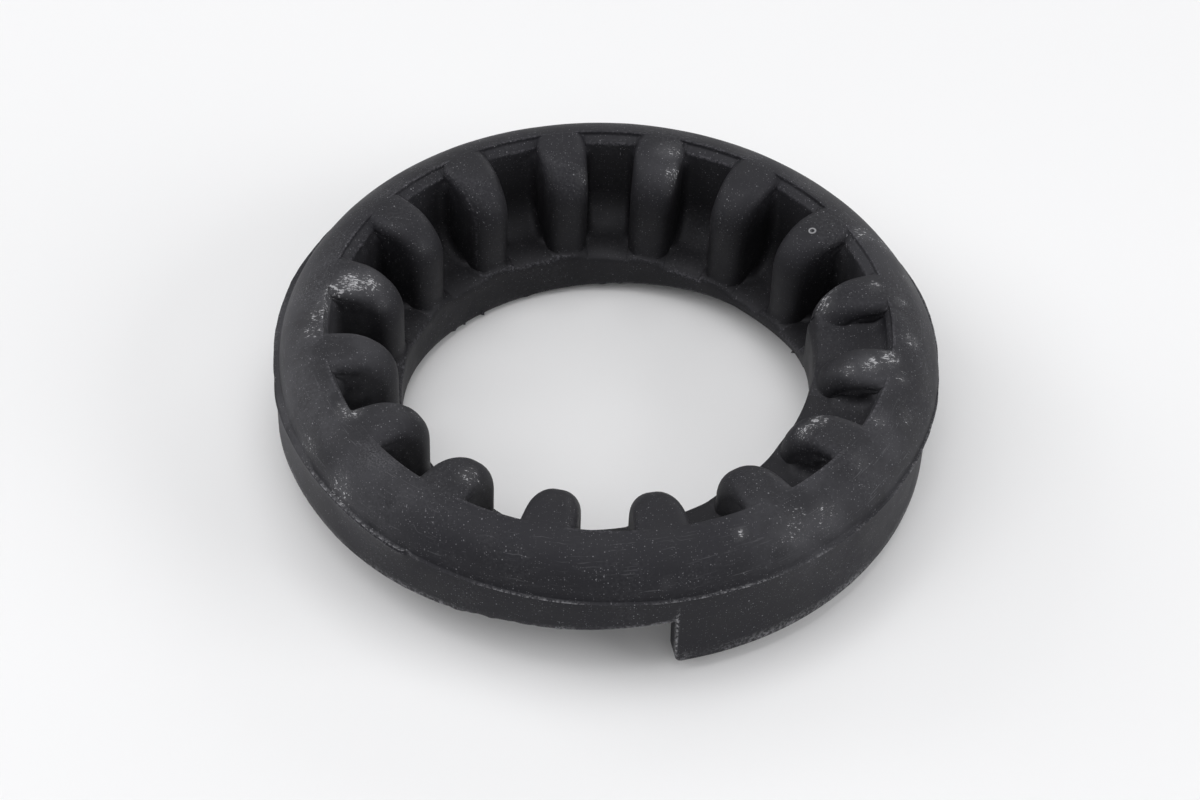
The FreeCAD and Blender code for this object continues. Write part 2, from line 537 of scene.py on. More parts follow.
@dataclass
class RubberRing:
    """The moulded ring, built section by section.

    A parting row holds a height over the parting line, and the shares of the swell, the second lip, the
    lip and the flare by which the row stands out there.
    """

    form: RingForm
    wear: Wear
    skirt_rows: int = 7
    skirt_rounding: float = 0.45
    straight_skirt: float = 2.6
    second_lip_low: float = 6.0
    second_lip_high: float = 2.0
    parting_rows: tuple[tuple[float, ...], ...] = (
        (-2.15, 1.0, 0.75, 0.0, 0.0), (-1.85, 1.0, 1.0, 0.0, 0.0), (-1.6, 1.0, 0.9, 0.0, 0.0),
        (-1.2, 0.4, 0.0, 0.0, 0.0), (-0.62, 0.0, 0.0, 0.0, 0.0), (-0.30, 0.0, 0.0, 0.34, 0.0),
        (-0.10, 0.0, 0.0, 0.93, 0.0), (0.0, 0.0, 0.0, 1.0, 0.0), (0.09, 0.0, 0.0, 0.92, 0.0),
        (0.22, 0.0, 0.0, 0.36, 0.6),
    )
    shoulder_rows: int = 20
    shoulder_start: float = 0.75
    inner_rows: int = 36
    foot_rows: int = 6
    bore_rows: int = 9
    collar_rows: int = 5
    seat_rows: int = 6
    collar_rounding: float = 0.7
    least_rounding: float = 0.02
    seat_root: float = 1.4
    corner_share: float = 0.4
    crown_points: int = 24
    nose_points: int = 90
    tip_points: int = 160
    tip_end: float = -4.0
    tip_run: float = 11.0
    root_points: int = 60
    pocket_points: int = 240
    fillet_from_top: float = 2.5
    fillet_to_tip: float = 3.0
    pocket_shallow: float = 3.0
    pocket_full: float = 9.0
    side_sections: int = 5
    side_draft: float = 0.35
    rib_steps: tuple[float, ...] = (0.0, 0.08, 0.3, 0.62, 1.05, 1.6, 2.3, 3.2, 4.3)
    fillet_steps: tuple[float, ...] = (0.034, 0.134, 0.293, 0.5, 0.741, 1.0)
    fillet_place: float = 54.0
    pocket_step: float = 3.6
    stop_steps: tuple[float, ...] = (0.0, 0.15, 0.3, 0.45)
    end_margin: float = 0.03
    least_gap: float = 0.004
    unwrap_radius: float = 60.0
    weld: float = 0.0008
    sharp_angle: float = 50.0

    def crown_height(self, radius: float) -> float:
        """Height of the rim and the rib crowns, before their edges are rounded."""
        out = max(0.0, radius - self.form.shoulder_centre)
        return self.form.parting_height + math.sqrt(self.form.shoulder_radius ** 2 - out ** 2)

    def rim_rows(self, offset: float, share: float) -> np.ndarray:
        """Rows across the ledge inside the rim.

        Args:
            offset: Angle from the nearest rib's centre.
            share: Width of the ledge there, as a share of its full width.

        Returns:
            Radius and height of each row.
        """
        form = self.form
        start = form.ledge_rows[0][0]
        inside = math.radians(form.rib_half_angle - abs(offset))
        rows = []
        for radius, fall in form.ledge_rows:
            ledge = form.top + fall
            if inside <= 0.0:
                rows.append((start - (start - radius) * share, ledge))
                continue
            crown = self.crown_height(radius) - float(rounding(radius * inside, form.rib_edge_radius))
            rows.append((radius, max(ledge, crown)))
        return np.array(rows)

    def rib_line(self, offset: float, floor: float) -> np.ndarray:
        """Crown, nose and tip of a rib, from the ledge down to the floor.

        Args:
            offset: Angle from the rib's centre.
            floor: Height of the floor there.

        Returns:
            Fine line of radius and height, going inwards.
        """
        form, tip = self.form, self.form.rib_tip_radius
        nose = (tip + form.rib_nose_radius, form.top - form.rib_nose_radius)
        line = np.vstack((
            np.linspace((form.pocket_wall_radius, form.top), (nose[0], form.top), self.crown_points),
            arc(nose, form.rib_nose_radius, 90.0, 180.0, self.nose_points)[1:],
            np.linspace((tip, nose[1]), (tip, self.tip_end), self.tip_points)[1:],
        ))
        depth = line[:, 0] * math.radians(form.rib_half_angle - abs(offset))
        growth = form.rib_tip_edge_radius - form.rib_edge_radius
        radius = form.rib_edge_radius + growth * smooth(0.0, self.tip_run, run_along(line))
        line = line - normals_right(line) * rounding(depth, radius)[:, None]
        low = np.clip(1.0 - (line[:, 1] - floor) / form.rib_base_height, 0.0, 1.0)
        line[:, 0] -= form.rib_base_flare * low ** 2
        below = np.flatnonzero(line[:, 1] <= floor)
        last = int(below[0]) if len(below) else len(line) - 1
        return np.vstack((line[:last], [(line[last][0], floor)]))

    def pocket_line(self, offset: float, floor: float, junction: float, wall: float) -> np.ndarray:
        """Wall, root and floor of a pocket.

        Args:
            offset: Angle from the pocket's side.
            floor: Height of the floor there.
            junction: Radius at which the line ends.
            wall: Radius of the pocket's wall.

        Returns:
            Fine line of radius and height, going inwards.
        """
        form = self.form
        start = form.top - form.rib_edge_radius
        root = min(form.pocket_root_radius, start - floor)
        bend = arc((wall - root, floor + root), root, 0.0, -90.0, self.root_points)
        line = resampled(np.vstack(([(wall, start)], bend, [(junction, floor)])), self.pocket_points)
        inset = rounding(line[:, 0] * math.radians(max(offset, 0.0)), form.pocket_fillet)
        inset = inset * smooth(0.0, self.fillet_from_top, run_along(line))
        inset = inset * smooth(junction, junction + self.fillet_to_tip, line[:, 0])
        inset = inset * smooth(self.pocket_shallow, self.pocket_full, form.top - floor)
        return line + normals_right(line) * inset[:, None]

    def foot(self, junction: float, floor: float) -> np.ndarray:
        """Floor between the ribs' tips and the bore, with the rounded edge of the bore.

        Args:
            junction: Radius at which the floor starts.
            floor: Height of the floor.

        Returns:
            Radius and height of each row.
        """
        bore = self.form.bore_at(floor)
        angle = np.linspace(0.0, 0.5 * math.pi, self.foot_rows + 1)[1:]
        radii = bore + (junction - bore) * (1.0 - np.sin(angle))
        return np.column_stack((radii, floor - self.form.bore_edge * (1.0 - np.cos(angle))))

    def outside(self, section: Section, edge: float) -> None:
        """Adds the rows of the skirt, the lip and the shoulder.

        Args:
            section: Section being filled.
            edge: Height of the skirt's lower edge.
        """
        form, wear, bearing = self.form, self.wear, section.bearing
        parting = form.parting_height
        skirt = form.skirt_radius + 0.5 * wear.form_unevenness * wave(bearing, 1.1)
        swell, second, flare = wear.swell(bearing), wear.second_lip(bearing), wear.flare(bearing)
        heights = np.linspace(edge + self.skirt_rounding, parting - self.straight_skirt, self.skirt_rows)
        lean = 0.5 * second * smooth(self.second_lip_low, self.second_lip_high, parting - heights)
        radii = skirt + swell + lean
        section.add(Part.SKIRT, np.column_stack((radii, heights)))
        reaches = (swell, second, wear.lip(bearing), flare)
        section.add(Part.LIP, [(skirt + np.dot(shares, reaches), parting + rise)
                               for rise, *shares in self.parting_rows])
        radius = form.shoulder_radius
        first = math.degrees(math.asin(self.shoulder_start / radius))
        last = math.degrees(math.acos((form.rim_edge_radius - form.shoulder_centre) / radius))
        angle = np.radians(np.linspace(first, last, self.shoulder_rows))
        radii = radius + np.sin(2.0 * angle) * wear.form_unevenness * wave(bearing, 2.9)
        rise = radii * np.sin(angle)
        radii = form.shoulder_centre + radii * np.cos(angle) + flare * smooth(wear.flare_height, 0.0, rise)
        section.add(Part.SHOULDER, np.column_stack((radii, parting + rise)))

    def underside(self, section: Section, edge: float) -> None:
        """Adds the rows of the bore, the collar, the seat and the inside of the skirt.

        Args:
            section: Section being filled.
            edge: Height of the skirt's lower edge.
        """
        form, bearing, share = self.form, section.bearing, self.corner_share
        bore, collar, wall = form.bore_radius, form.collar_radius, form.skirt_inside_radius
        inner_end, outer_end = form.collar_end(bearing, bore), form.collar_end(bearing, collar)
        end = share * (form.open_seat(bearing) - outer_end)
        soft = min(self.collar_rounding, max(self.least_rounding, end))
        heights = np.linspace(section.rows[-1][1], inner_end + soft, self.bore_rows + 1)[1:]
        section.add(Part.BORE, [(form.bore_at(height), height) for height in heights])
        torn = self.wear.bore_flash(bearing)
        section.add(Part.COLLAR_END, [
            (bore + CORNER * soft - torn, inner_end + CORNER * soft),
            (bore + soft - 0.4 * torn, inner_end - 0.5 * torn),
            (0.5 * (bore + collar), 0.5 * (inner_end + outer_end)),
            (collar - soft, outer_end), (collar - CORNER * soft, outer_end + CORNER * soft)])
        seat = max(form.seat(bearing), edge + form.clearance)
        root = float(np.clip(share * (seat - outer_end), -self.seat_root, self.seat_root))
        heights = np.linspace(outer_end + soft, seat - root, self.collar_rows)
        section.add(Part.COLLAR_OUTSIDE, [(collar, height) for height in heights])
        section.add(Part.COLLAR_OUTSIDE, [(collar + CORNER * abs(root), seat - CORNER * root)])
        start, low = collar + abs(root), min(self.seat_root, share * (seat - edge))
        section.add(Part.SEAT, [(radius, seat) for radius in np.linspace(start, wall - low, self.seat_rows)])
        section.add(Part.SKIRT_INSIDE, [(wall - CORNER * low, seat - CORNER * low)])
        soft = min(self.skirt_rounding, share * (seat - edge))
        heights = np.linspace(seat - low, edge + soft, self.seat_rows)
        section.add(Part.SKIRT_INSIDE, [(wall, height) for height in heights])
        skirt, low = section.rows[0][0], self.skirt_rounding
        section.add(Part.SKIRT_END, [
            (wall + CORNER * soft, edge + CORNER * soft), (wall + soft, edge), (0.5 * (wall + skirt), edge),
            (skirt - low, edge), (skirt - CORNER * low, edge + CORNER * low)])

    def section(self, bearing: float, line: np.ndarray, rim: np.ndarray) -> Section:
        """Makes a whole section.

        Args:
            bearing: Bearing in degrees.
            line: Fine line from the rim down to the floor.
            rim: Rows across the ledge.

        Returns:
            The section.
        """
        made = Section(bearing)
        edge = self.form.edge(bearing) + self.wear.torn_edge(bearing)
        self.outside(made, edge)
        made.add(Part.INNER, np.vstack((rim, resampled(line, self.inner_rows)[1:])))
        made.add(Part.FOOT, self.foot(*line[-1]))
        self.underside(made, edge)
        return made

    def rib_section(self, bearing: float, offset: float) -> Section:
        """Section through a rib, at an angle from its centre."""
        rim = self.rim_rows(offset, self.form.ledge_share(bearing))
        return self.section(bearing, self.rib_line(offset, self.form.floor(bearing)), rim)

    def pocket_section(self, bearing: float, offset: float) -> Section:
        """Section through a pocket.

        Args:
            bearing: Bearing in degrees.
            offset: Angle from the pocket's nearer side.

        Returns:
            The section.
        """
        half, floor = self.form.rib_half_angle, self.form.floor(bearing)
        junction = self.rib_line(half, floor)[-1][0]
        rim = self.rim_rows(half, self.form.ledge_share(bearing))
        return self.section(bearing, self.pocket_line(offset, floor, junction, rim[-1][0]), rim)

    def between(self, first: Section, last: Section, sign: float) -> list[Section]:
        """Sections on a rib's flat side, from the rib to the pocket.

        Args:
            first: Section at the rib's side.
            last: Section at the pocket's side, at the same bearing.
            sign: Which way the pocket lies.

        Returns:
            Sections between them, spread over the side's draft.
        """
        start, end = np.array(first.rows), np.array(last.rows)
        inner = [row for row, part in enumerate(first.parts) if part is Part.INNER]
        made = []
        for step in range(1, self.side_sections + 1):
            share = step / (self.side_sections + 1)
            rows = [tuple(row) for row in start + (end - start) * share]
            section = Section(first.bearing, rows, list(first.parts), [0.0] * len(rows))
            for rank, row in enumerate(inner):
                middle = math.sin(math.pi * (rank + 1) / len(inner))
                section.shift[row] = sign * self.side_draft * (share - 0.5) * middle
            made.append(section)
        return made

    def sections(self) -> list[Section]:
        """Makes all the sections, once round the ring.

        Returns:
            The sections, in order.
        """
        form = self.form
        half = form.rib_half_angle
        pocket_half = 0.5 * form.pitch - half
        ribs_at = [half - step for step in self.rib_steps]
        ribs_at = sorted(set([-offset for offset in ribs_at] + [0.0] + ribs_at))
        fillet = math.degrees(form.pocket_fillet / self.fillet_place)
        pockets_at = [fillet * step - pocket_half for step in self.fillet_steps]
        pockets_at += [self.pocket_step - pocket_half, 0.0]
        pockets_at = sorted(set(pockets_at + [-offset for offset in pockets_at]))
        stop = form.floor_ramp.start - form.stop_angle
        extra = form.edge_ramp.drop.bearings() + form.floor_ramp.drop.bearings() + self.wear.bearings()
        extra = sorted(extra + [stop - step for step in self.stop_steps])
        made: list[Section] = []
        for index in range(form.rib_count):
            centre = form.pitch * (index + 0.5)
            offsets = self.spread(ribs_at, [bearing - centre for bearing in extra], half)
            ribs = [self.rib_section(centre + offset, offset) for offset in offsets]
            before, after = self.pocket_section(centre - half, 0.0), self.pocket_section(centre + half, 0.0)
            made += [before] + self.between(ribs[0], before, -1.0)[::-1] + ribs
            made += self.between(ribs[-1], after, 1.0) + [after]
            middle = centre + 0.5 * form.pitch
            wanted = [(bearing - middle + 180.0) % 360.0 - 180.0 for bearing in extra]
            for offset in self.spread(pockets_at, wanted, pocket_half):
                made.append(self.pocket_section((middle + offset) % 360.0, pocket_half - abs(offset)))
        return made

    def spread(self, offsets: list[float], wanted: list[float], half: float) -> list[float]:
        """Offsets with the wanted ones added where they fall inside and not too close.

        Args:
            offsets: Regular offsets, in order.
            wanted: Further offsets.
            half: Half of the run that they may fall in.

        Returns:
            All of them, in order.
        """
        kept = list(offsets)
        for offset in wanted:
            gap = min(abs(offset - other) for other in kept)
            if abs(offset) < half - self.end_margin and gap > self.least_gap:
                kept.append(offset)
        return sorted(kept)

    def sheet(self, count: int, rows: int) -> bmesh.types.BMesh:
        """Makes the flat sheet that is rolled up into the ring.

        Args:
            count: Number of sections round the ring.
            rows: Number of rows round a section.

        Returns:
            The sheet, with each vertex's section and row in two layers.
        """
        work = bmesh.new()
        bmesh.ops.create_grid(work, x_segments=count, y_segments=rows, size=0.5)
        turn_layer = work.verts.layers.int.new("turn")
        row_layer = work.verts.layers.int.new("row")
        for vert in work.verts:
            vert[turn_layer] = round((vert.co.x + 0.5) * count)
            vert[row_layer] = round((vert.co.y + 0.5) * rows)
        return work

    def roll(self, work: bmesh.types.BMesh, sections: list[Section]) -> None:
        """Moves every vertex of the sheet to its place in its own section.

        Args:
            work: The sheet.
            sections: The sections, in order round the ring.
        """
        row_layer, turn_layer = work.verts.layers.int["row"], work.verts.layers.int["turn"]
        count, rows = len(sections), len(sections[0].rows)
        for vert in work.verts:
            section = sections[vert[turn_layer] % count]
            row = vert[row_layer] % rows
            radius, height = section.rows[row]
            turn = math.radians(section.bearing + section.shift[row] - 90.0)
            vert.co = (radius * math.cos(turn), radius * math.sin(turn), height)

    def unwrap(self, work: bmesh.types.BMesh, sections: list[Section]) -> None:
        """Lays the surface out flat, along the ring and across it.

        Args:
            work: The ring's mesh.
            sections: The sections, in order round the ring.
        """
        row_layer, turn_layer = work.verts.layers.int["row"], work.verts.layers.int["turn"]
        uv_layer = work.loops.layers.uv.new("run")
        closed = sections + sections[:1]
        across = [run_along(np.array(section.rows + section.rows[:1])) * MM for section in closed]
        along = np.unwrap(np.radians([section.bearing for section in closed])) * self.unwrap_radius * MM
        for face in work.faces:
            face.smooth = True
            for loop in face.loops:
                turn = loop.vert[turn_layer]
                loop[uv_layer].uv = (along[turn], across[turn][loop.vert[row_layer]])

    def build(self) -> bpy.types.Object:
        """Builds the mesh object.

        Returns:
            The ring, at the origin.
        """
        sections = self.sections()
        work = self.sheet(len(sections), len(sections[0].rows))
        self.roll(work, sections)
        self.unwrap(work, sections)
        bmesh.ops.remove_doubles(work, verts=work.verts, dist=self.weld)
        bmesh.ops.dissolve_degenerate(work, edges=work.edges, dist=self.weld)
        bmesh.ops.recalc_face_normals(work, faces=work.faces)
        bmesh.ops.scale(work, vec=(MM, MM, MM), verts=work.verts)
        mesh = bpy.data.meshes.new("rubber_ring")
        work.to_mesh(mesh)
        work.free()
        for name in ("row", "turn"):
            mesh.attributes.remove(mesh.attributes[name])
        mesh.set_sharp_from_angle(angle=math.radians(self.sharp_angle))
        ring = bpy.data.objects.new("rubber_ring", mesh)
        bpy.context.scene.collection.objects.link(ring)
        return ring

    def dress(self, ring: bpy.types.Object) -> None:
        """Gives the ring its masks, its finish and its place in the frame.

        Args:
            ring: The ring's object.
        """
        WearAndPaintedLightMasks(ring.data, self.form, self.wear).write()
        ring.data.materials.append(RubberFinish().build())
        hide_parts(NODE)
        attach(ring, "root")


@dataclass(frozen=True)
class PalePatch:
    """A pale place on the rubber, in millimetres, used for the rubbed scuffs and for the patches of painted
    sheen.
    """

    x: float
    y: float
    z: float
    size: float
    strength: float

    def amount(self, points: np.ndarray) -> np.ndarray:
        """How much each point is rubbed, from 0 to 1."""
        away = np.linalg.norm(points - np.array((self.x, self.y, self.z)), axis=1)
        return self.strength * (1.0 - smooth(0.25 * self.size, self.size, away))


SCUFFS = tuple(PalePatch(*row) for row in (
    (-57.5, 5.6, 34.0, 4.0, 1.0), (-54.4, 8.4, 34.1, 4.6, 1.0), (-50.6, 9.0, 33.4, 4.0, 0.9),
    (-58.6, 2.2, 34.0, 3.6, 0.9), (-60.6, -1.6, 34.0, 4.2, 0.8), (-61.8, -6.0, 33.6, 4.0, 0.6),
    (-47.0, 4.6, 31.0, 3.4, 0.7), (-43.5, 20.4, 33.0, 4.2, 0.95), (-39.6, 22.4, 31.0, 3.4, 0.8),
    (-45.6, -5.4, 32.0, 3.6, 0.8), (-50.4, -4.8, 33.4, 3.4, 0.6), (-52.3, -29.1, 34.0, 4.0, 0.8),
    (-27.1, -46.0, 34.0, 4.0, 0.6), (-37.6, -27.2, 31.8, 3.2, 0.5), (13.2, 53.9, 34.1, 4.4, 0.55),
    (15.4, 47.8, 32.5, 4.6, 0.95), (14.6, 44.6, 29.5, 3.4, 0.7), (-4.5, 47.6, 31.0, 3.6, 0.7),
    (45.0, 9.6, 31.4, 4.2, 1.0), (46.6, 12.8, 33.2, 3.4, 0.9), (55.0, 29.0, 34.0, 4.0, 0.7),
    (60.4, 27.4, 31.6, 4.0, 0.6), (64.0, 18.0, 30.6, 3.0, 0.5), (62.0, 8.0, 33.0, 2.6, 0.6),
    (56.6, 12.0, 34.0, 2.4, 0.6), (58.4, -9.6, 34.1, 3.4, 0.9), (54.4, -11.4, 34.1, 3.4, 0.85),
    (49.6, -12.6, 33.8, 2.6, 0.7), (63.6, -3.2, 32.8, 3.0, 0.75), (61.0, -15.0, 33.4, 2.4, 0.5),
    (42.8, -27.6, 33.4, 3.2, 0.9), (39.6, -29.8, 33.0, 3.6, 0.9), (44.6, -22.6, 33.0, 2.6, 0.6),
    (55.6, -27.4, 34.0, 2.6, 0.5), (61.6, -24.0, 31.6, 3.0, 0.45), (51.0, -38.0, 33.0, 3.4, 0.45),
    (37.4, -55.0, 30.6, 6.0, 0.5), (43.4, -51.0, 30.0, 5.0, 0.45), (26.8, -58.1, 32.7, 1.8, 1.0),
    (12.0, -66.0, 27.0, 2.6, 0.9), (-53.3, -43.7, 26.1, 6.0, 0.6), (-61.6, -33.0, 27.4, 5.0, 0.6),
))

# Broad pale patches where the shoulder catches the lights: painted sheen.
SHEEN_HAZES = tuple(PalePatch(*row) for row in (
    (-62.0, -24.0, 30.0, 30.0, 1.0), (-66.0, 2.0, 29.0, 24.0, 0.8), (-48.0, -46.0, 29.0, 20.0, 0.7),
    (40.0, -54.0, 30.0, 20.0, 0.8), (58.0, -34.0, 29.0, 16.0, 0.6), (62.0, 22.0, 29.0, 18.0, 0.5),
    (-52.0, 8.0, 33.0, 9.0, 0.9), (53.0, -14.0, 34.0, 10.0, 0.8), (13.5, 50.0, 33.0, 8.0, 0.8),
))


@dataclass
class WearAndPaintedLightMasks:
    """Masks that the finish reads, one value a vertex: wear, painted shade, painted sheen and a painted
    highlight.
    """

    mesh: bpy.types.Mesh
    form: RingForm
    wear: Wear
    bearing_steps: int = 3600
    tight_bend: float = 420.0

    def __post_init__(self) -> None:
        """Reads the vertices and works out where they lie on the ring."""
        self.points = self.vectors(self.mesh.vertices, "co") / MM
        self.radius = np.hypot(self.points[:, 0], self.points[:, 1])
        self.height = self.points[:, 2]
        self.bearing = (np.degrees(np.arctan2(self.points[:, 1], self.points[:, 0])) + 90.0) % 360.0

    @staticmethod
    def vectors(items: Any, name: str) -> np.ndarray:
        """Reads one vector of each item of a collection.

        Args:
            items: Collection of mesh items.
            name: Property that holds the vector.

        Returns:
            Array of three columns.
        """
        values = np.empty(len(items) * 3)
        items.foreach_get(name, values)
        return values.reshape(-1, 3)

    def by_bearing(self, value: Callable[[float], float]) -> np.ndarray:
        """Works out a value that goes by bearing, at every vertex."""
        fine = np.linspace(0.0, 360.0, self.bearing_steps + 1)
        return np.interp(self.bearing, fine, [value(bearing % 360.0) for bearing in fine])

    def rubbed_and_painted_light(self, places: Sequence[PalePatch]) -> np.ndarray:
        """Strongest of the given pale places at every vertex: rubbed scuffs, and patches of painted sheen."""
        return np.max([place.amount(self.points) for place in places], axis=0)

    def shoulder(self) -> np.ndarray:
        """Outer slope of the shoulder."""
        rise = self.height - self.form.parting_height
        return smooth(0.0, 3.0, self.radius - self.form.shoulder_centre) * smooth(0.6, 2.5, rise)

    def lip(self) -> np.ndarray:
        """Outermost edge of the parting lip, where a pale broken line is painted as a highlight.

        Returns:
            Array of 0 to 1.
        """
        out = (self.radius - self.form.skirt_radius) / self.by_bearing(self.wear.lip)
        return smooth(0.86, 0.98, out) * (np.abs(self.height - self.form.parting_height) < 0.5)

    def low_edge(self) -> np.ndarray:
        """Lower edge of the skirt and the upright edge of its step, seen from outside.

        Returns:
            Array of 0 to 1.
        """
        form = self.form
        step = form.edge_ramp.drop.bearing
        outside = smooth(form.skirt_radius - 1.2, form.skirt_radius - 0.3, self.radius)
        rim = 1.0 - smooth(0.2, 0.7, self.height - self.by_bearing(form.edge))
        upright = band(self.bearing, step - 0.35, step - 0.15, step + 0.1, step + 0.5)
        return outside * np.maximum(rim, upright * (self.height < form.parting_height - 5.0))

    def painted_shade(self) -> np.ndarray:
        """Painted shade inside the pockets and the bore, growing with depth below the rib tops.

        Returns:
            Array of 0 to 1.
        """
        wall = self.form.pocket_wall_radius
        inside = 1.0 - smooth(wall - 0.5, wall + 1.5, self.radius)
        return smooth(0.0, 14.0, self.form.top - self.height) * inside

    def corner(self) -> np.ndarray:
        """How convex the surface is.

        Returns:
            Array of 0, flat or hollow, to 1, a tight corner.
        """
        points, normals = self.points * MM, self.vectors(self.mesh.vertex_normals, "vector")
        edges = np.empty(len(self.mesh.edges) * 2, dtype=np.int64)
        self.mesh.edges.foreach_get("vertices", edges)
        first, last = edges.reshape(-1, 2).T
        along = points[last] - points[first]
        length = np.maximum(np.linalg.norm(along, axis=1), 1e-5)
        bend = np.einsum("ij,ij->i", normals[last] - normals[first], along) / length ** 2
        total, number = np.zeros(len(points)), np.zeros(len(points))
        for ends in (first, last):
            np.add.at(total, ends, bend)
            np.add.at(number, ends, 1.0)
        return np.clip(total / np.maximum(number, 1.0) / self.tight_bend, 0.0, 1.0)

    def write(self) -> None:
        """Writes every mask to the mesh, under its own name."""
        masks = {
            Mask.SCUFF: self.rubbed_and_painted_light(SCUFFS), Mask.SHEEN_HAZE: self.rubbed_and_painted_light(SHEEN_HAZES), Mask.SHOULDER: self.shoulder(),
            Mask.LIP: self.lip(), Mask.PAINTED_SHADE: self.painted_shade(), Mask.CORNER: self.corner(),
            Mask.LOW_EDGE: self.low_edge(),
        }
        for mask, values in masks.items():
            layer = self.mesh.attributes.new(mask.value, "FLOAT", "POINT")
            layer.data.foreach_set("value", np.asarray(values, dtype=np.float32))


class NodeTree:
    """Short calls for building a shader's nodes."""

    def __init__(self, tree: bpy.types.NodeTree) -> None:
        """Takes over a tree and empties it."""
        self.tree = tree
        self.tree.nodes.clear()

    def give(self, value: Input, socket: Socket) -> None:
        """Links a socket to an input, or writes a plain value to it.

        Args:
            value: Socket, number or colour.
            socket: Input that gets it.
        """
        if isinstance(value, Socket):
            self.tree.links.new(value, socket)
        else:
            socket.default_value = value

    def add(self, kind: str, **values: Any) -> bpy.types.Node:
        """Adds a node.

        Args:
            kind: Node type.
            **values: Properties, and inputs named with in_ and the input's name or number.

        Returns:
            The node.
        """
        node = self.tree.nodes.new(kind)
        inputs = {name: value for name, value in values.items() if name.startswith("in_")}
        for name in values.keys() - inputs.keys():
            setattr(node, name, values[name])
        for name, value in inputs.items():
            key = name[3:].replace("_", " ")
            self.give(value, node.inputs[int(key) if key.isdigit() else key])
        return node

    def math(self, operation: str, first: Input, second: Input, clamp: bool = False) -> Socket:
        """Adds a sum of two values.

        Args:
            operation: Math node operation.
            first: Socket or number.
            second: Socket or number.
            clamp: Whether the result is kept in 0 to 1.

        Returns:
            The result's socket.
        """
        node = self.add("ShaderNodeMath", operation=operation, use_clamp=clamp, in_0=first, in_1=second)
        return node.outputs[0]

    def times(self, first: Input, second: Input, clamp: bool = False) -> Socket:
        """Adds a product of two values."""
        return self.math("MULTIPLY", first, second, clamp)

    def most(self, first: Input, second: Input) -> Socket:
        """Adds the larger of two values."""
        return self.math("MAXIMUM", first, second)

    def ramp(self, value: Input, low: float, high: float, start: float = 0.0, end: float = 1.0) -> Socket:
        """Adds a smooth step from one value to another.

        Args:
            value: Socket that is mapped.
            low: Its value at which the step starts.
            high: Its value at which the step ends.
            start: Result up to the step.
            end: Result after the step.

        Returns:
            The result's socket.
        """
        node = self.add("ShaderNodeMapRange", interpolation_type="SMOOTHSTEP", in_Value=value,
                        in_From_Min=low, in_From_Max=high, in_To_Min=start, in_To_Max=end)
        return node.outputs["Result"]

    def mix(self, share: Input, first: Input, second: Input) -> Socket:
        """Adds a mix of two colours.

        Args:
            share: How much of the second colour is taken.
            first: First colour.
            second: Second colour.

        Returns:
            The mixed colour's socket.
        """
        return self.add("ShaderNodeMix", data_type="RGBA", in_0=share, in_6=first, in_7=second).outputs[2]

    def noise(self, vector: Socket, scale: float, detail: float, roughness: float = 0.5,
              distortion: float = 0.0) -> Socket:
        """Adds a noise pattern.

        Args:
            vector: Where the pattern lies.
            scale: Waves a metre.
            detail: Number of finer steps.
            roughness: Strength of the finer steps.
            distortion: How much the pattern is bent.

        Returns:
            The pattern's socket, 0 to 1.
        """
        return self.add("ShaderNodeTexNoise", in_Vector=vector, in_Scale=scale, in_Detail=detail,
                        in_Roughness=roughness, in_Distortion=distortion).outputs["Fac"]

    def mapped(self, vector: Socket, rotation: Place, scale: Place, shift: Place = (0.0, 0.0, 0.0)) -> Socket:
        """Adds a turned and stretched vector."""
        return self.add("ShaderNodeMapping", in_Vector=vector, in_Location=shift, in_Rotation=rotation,
                        in_Scale=scale).outputs["Vector"]

    def effect(self, group: bpy.types.NodeTree, vector: Socket, **values: Input) -> Any:
        """Places an effect's node group, and gives its outputs."""
        return self.add("ShaderNodeGroup", node_tree=group, in_Vector=vector, **values).outputs

    def attribute(self, mask: Mask) -> Socket:
        """Adds the value of a mesh layer."""
        return self.add("ShaderNodeAttribute", attribute_name=mask.value).outputs["Fac"]


class EffectGroup(NodeTree):
    """A shader node group with a vector input, further value inputs and value outputs."""

    def __init__(self, name: str, inputs: Sequence[str], outputs: Sequence[str]) -> None:
        """Makes the empty group.

        Args:
            name: Name of the group.
            inputs: Names of the value inputs.
            outputs: Names of the value outputs.
        """
        group = bpy.data.node_groups.new(name, "ShaderNodeTree")
        group.interface.new_socket(name="Vector", in_out="INPUT", socket_type="NodeSocketVector")
        for label in inputs:
            group.interface.new_socket(name=label, in_out="INPUT", socket_type="NodeSocketFloat")
        for label in outputs:
            group.interface.new_socket(name=label, in_out="OUTPUT", socket_type="NodeSocketFloat")
        super().__init__(group)
        self.given = self.add("NodeGroupInput").outputs
        self.result = self.add("NodeGroupOutput").inputs
        self.vector = self.given["Vector"]


